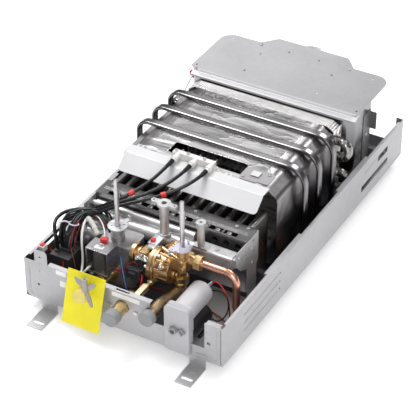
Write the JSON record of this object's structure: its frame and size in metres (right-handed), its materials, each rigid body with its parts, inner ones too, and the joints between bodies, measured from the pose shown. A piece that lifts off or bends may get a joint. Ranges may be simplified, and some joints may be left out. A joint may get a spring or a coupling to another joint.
{
  "type": "gas water heater",
  "caption": "Wall-hung open-flue gas water heater with its front cover off: tray chassis, flue hood, coil-wrapped combustion chamber, burner bars, gas and water valves.",
  "frame": {"origin": "centre of the four wall slots, in the plane that the wall brackets rest on", "axes": "+X to the appliance's right seen from the connection end with the inside facing up, +Y from the pipe connections towards the flue, +Z out of the wall towards the front"},
  "size_m": [0.352, 0.732, 0.2295],
  "materials": {
    "galvanised_sheet": "galvanised steel sheet, dull spangle",
    "bracket_steel": "zinc plated steel",
    "screws": "zinc plated steel",
    "flue_steel": "galvanised tube",
    "tinned_copper": "tinned copper sheet, slightly crinkled",
    "tinned_tube": "tinned flattened copper tube",
    "copper": "bare copper tube, slightly dulled",
    "shield_steel": "bright steel sheet",
    "label_plate": "sheet with a blank label",
    "ceramic_white": "white glazed ceramic",
    "electrode_wire": "heat-resisting wire",
    "burner_steel": "aluminised steel",
    "die_cast": "die-cast aluminium, matt",
    "brass_part": "machined brass",
    "brass_cast": "forged brass, dull",
    "gas_cast": "die-cast valve body, matt grey",
    "spindle_steel": "turned steel",
    "plated_disc": "zinc plated steel",
    "regulator_cast": "die-cast regulator drum, matt grey",
    "coil_frame": "plated steel",
    "coil_winding": "moulded bobbin and winding",
    "tag_card": "yellow card, bare of words",
    "tag_spot": "plain beige spot",
    "nut_plastic": "light moulded plastic",
    "rubber_black": "rubber sheet",
    "cap_grey": "soft grey cap",
    "clip_plastic": "pale plastic",
    "switch_black": "black switch on a bright bracket",
    "control_black": "black box",
    "battery_grey": "light grey moulding",
    "cell_metal": "plain cell jacket",
    "lead_black": "black silicone high-voltage lead",
    "wire_mixed": "small insulated wires",
    "sensor_metal": "small round thermostat"
  },
  "bodies": {
    "chassis": {"back_panel": "galvanised_sheet", "left_side_wall": "galvanised_sheet", "right_side_wall": "galvanised_sheet", "bottom_end_panel": "galvanised_sheet", "top_end_rail": "galvanised_sheet", "wall_brackets": "bracket_steel", "fasteners": "screws", "hood_front_plate": "galvanised_sheet", "hood_body": "galvanised_sheet", "hood_brace_strip": "galvanised_sheet", "flue_collar": "flue_steel", "spill_sensor": "sensor_metal", "hood_stays": "galvanised_sheet", "combustion_shell": "tinned_copper", "coil_tube": "tinned_tube", "exchanger_casing": "tinned_copper", "exchanger_fins": "tinned_copper", "exchanger_tubes": "tinned_tube", "front_shield": "shield_steel", "access_plate": "label_plate", "electrode_block": "ceramic_white", "electrodes": "electrode_wire", "burner_frame": "burner_steel", "burner_bars": "burner_steel", "gas_manifold": "die_cast", "injectors": "brass_part", "burner_side_brackets": "galvanised_sheet", "feed_post": "die_cast", "gas_valve_body": "gas_cast", "spindle_plate": "plated_disc", "regulator_drum": "regulator_cast", "solenoid_frame": "coil_frame", "solenoid_coil": "coil_winding", "gas_inlet_fitting": "brass_part", "water_valve_body": "brass_cast", "water_valve_cover": "brass_cast", "diaphragm": "rubber_black", "spindle_clip": "clip_plastic", "microswitch": "switch_black", "drain_valve": "brass_part", "cold_inlet_pipe": "brass_cast", "hot_outlet_pipe": "copper", "copper_pipe": "copper", "union_nuts": "brass_part", "control_box": "control_black", "battery_box": "battery_grey", "battery_cells": "cell_metal", "ignition_leads": "lead_black", "wire_harness": "wire_mixed"},
    "power_shaft": {"power_spindle": "spindle_steel"},
    "flow_shaft": {"flow_spindle": "spindle_steel"},
    "lid": {"battery_lid": "battery_grey"},
    "latch": {"battery_latch": "battery_grey"},
    "nut": {"wing_nut": "nut_plastic"},
    "tag": {"gas_tag": "tag_card", "tag_disc": "tag_spot"},
    "plunger": {"solenoid_plunger": "spindle_steel"},
    "rod": {"push_rod": "spindle_steel"},
    "cold_plug": {"cold_cap": "cap_grey"},
    "hot_plug": {"hot_cap": "cap_grey"}
  },
  "joints": [
    {"name": "power_turn", "type": "hinge", "parent": "chassis", "child": "power_shaft", "pos_m": [-0.053, -0.24, 0.1275], "axis": [0, 0, 1], "range_deg": [0, 270]},
    {"name": "flow_turn", "type": "hinge", "parent": "chassis", "child": "flow_shaft", "pos_m": [0.061, -0.24, 0.1325], "axis": [0, 0, 1], "range_deg": [0, 270]},
    {"name": "lid_hinge", "type": "hinge", "parent": "chassis", "child": "lid", "pos_m": [0.0995, -0.324, 0.0207], "axis": [1, 0, 0], "range_deg": [0, 85]},
    {"name": "latch_turn", "type": "hinge", "parent": "lid", "child": "latch", "pos_m": [0.096, -0.325, 0.0635], "axis": [0, 1, 0], "range_deg": [0, 90]},
    {"name": "wing_nut_turn", "type": "hinge", "parent": "chassis", "child": "nut", "pos_m": [-0.0518, -0.32725, 0.08553], "axis": [0, -0.9659, 0.2591], "continuous": true},
    {"name": "tag_swing", "type": "hinge", "parent": "chassis", "child": "tag", "pos_m": [-0.0518, -0.32725, 0.08553], "axis": [0, -0.9659, 0.2591], "range_deg": [-15, 15]},
    {"name": "plunger_slide", "type": "slide", "parent": "chassis", "child": "plunger", "axis": [0, 0, -1], "range_m": [0, 0.003], "stiffness_N_per_m": 300, "springref_m": -0.003},
    {"name": "rod_slide", "type": "slide", "parent": "chassis", "child": "rod", "axis": [-1, 0, 0], "range_m": [0, 0.003], "stiffness_N_per_m": 400, "springref_m": -0.004},
    {"name": "cold_cap_pull", "type": "slide", "parent": "chassis", "child": "cold_plug", "axis": [0, -1, 0], "range_m": [0, 0.02]},
    {"name": "hot_cap_pull", "type": "slide", "parent": "chassis", "child": "hot_plug", "axis": [0, -1, 0], "range_m": [0, 0.02]}
  ]
}
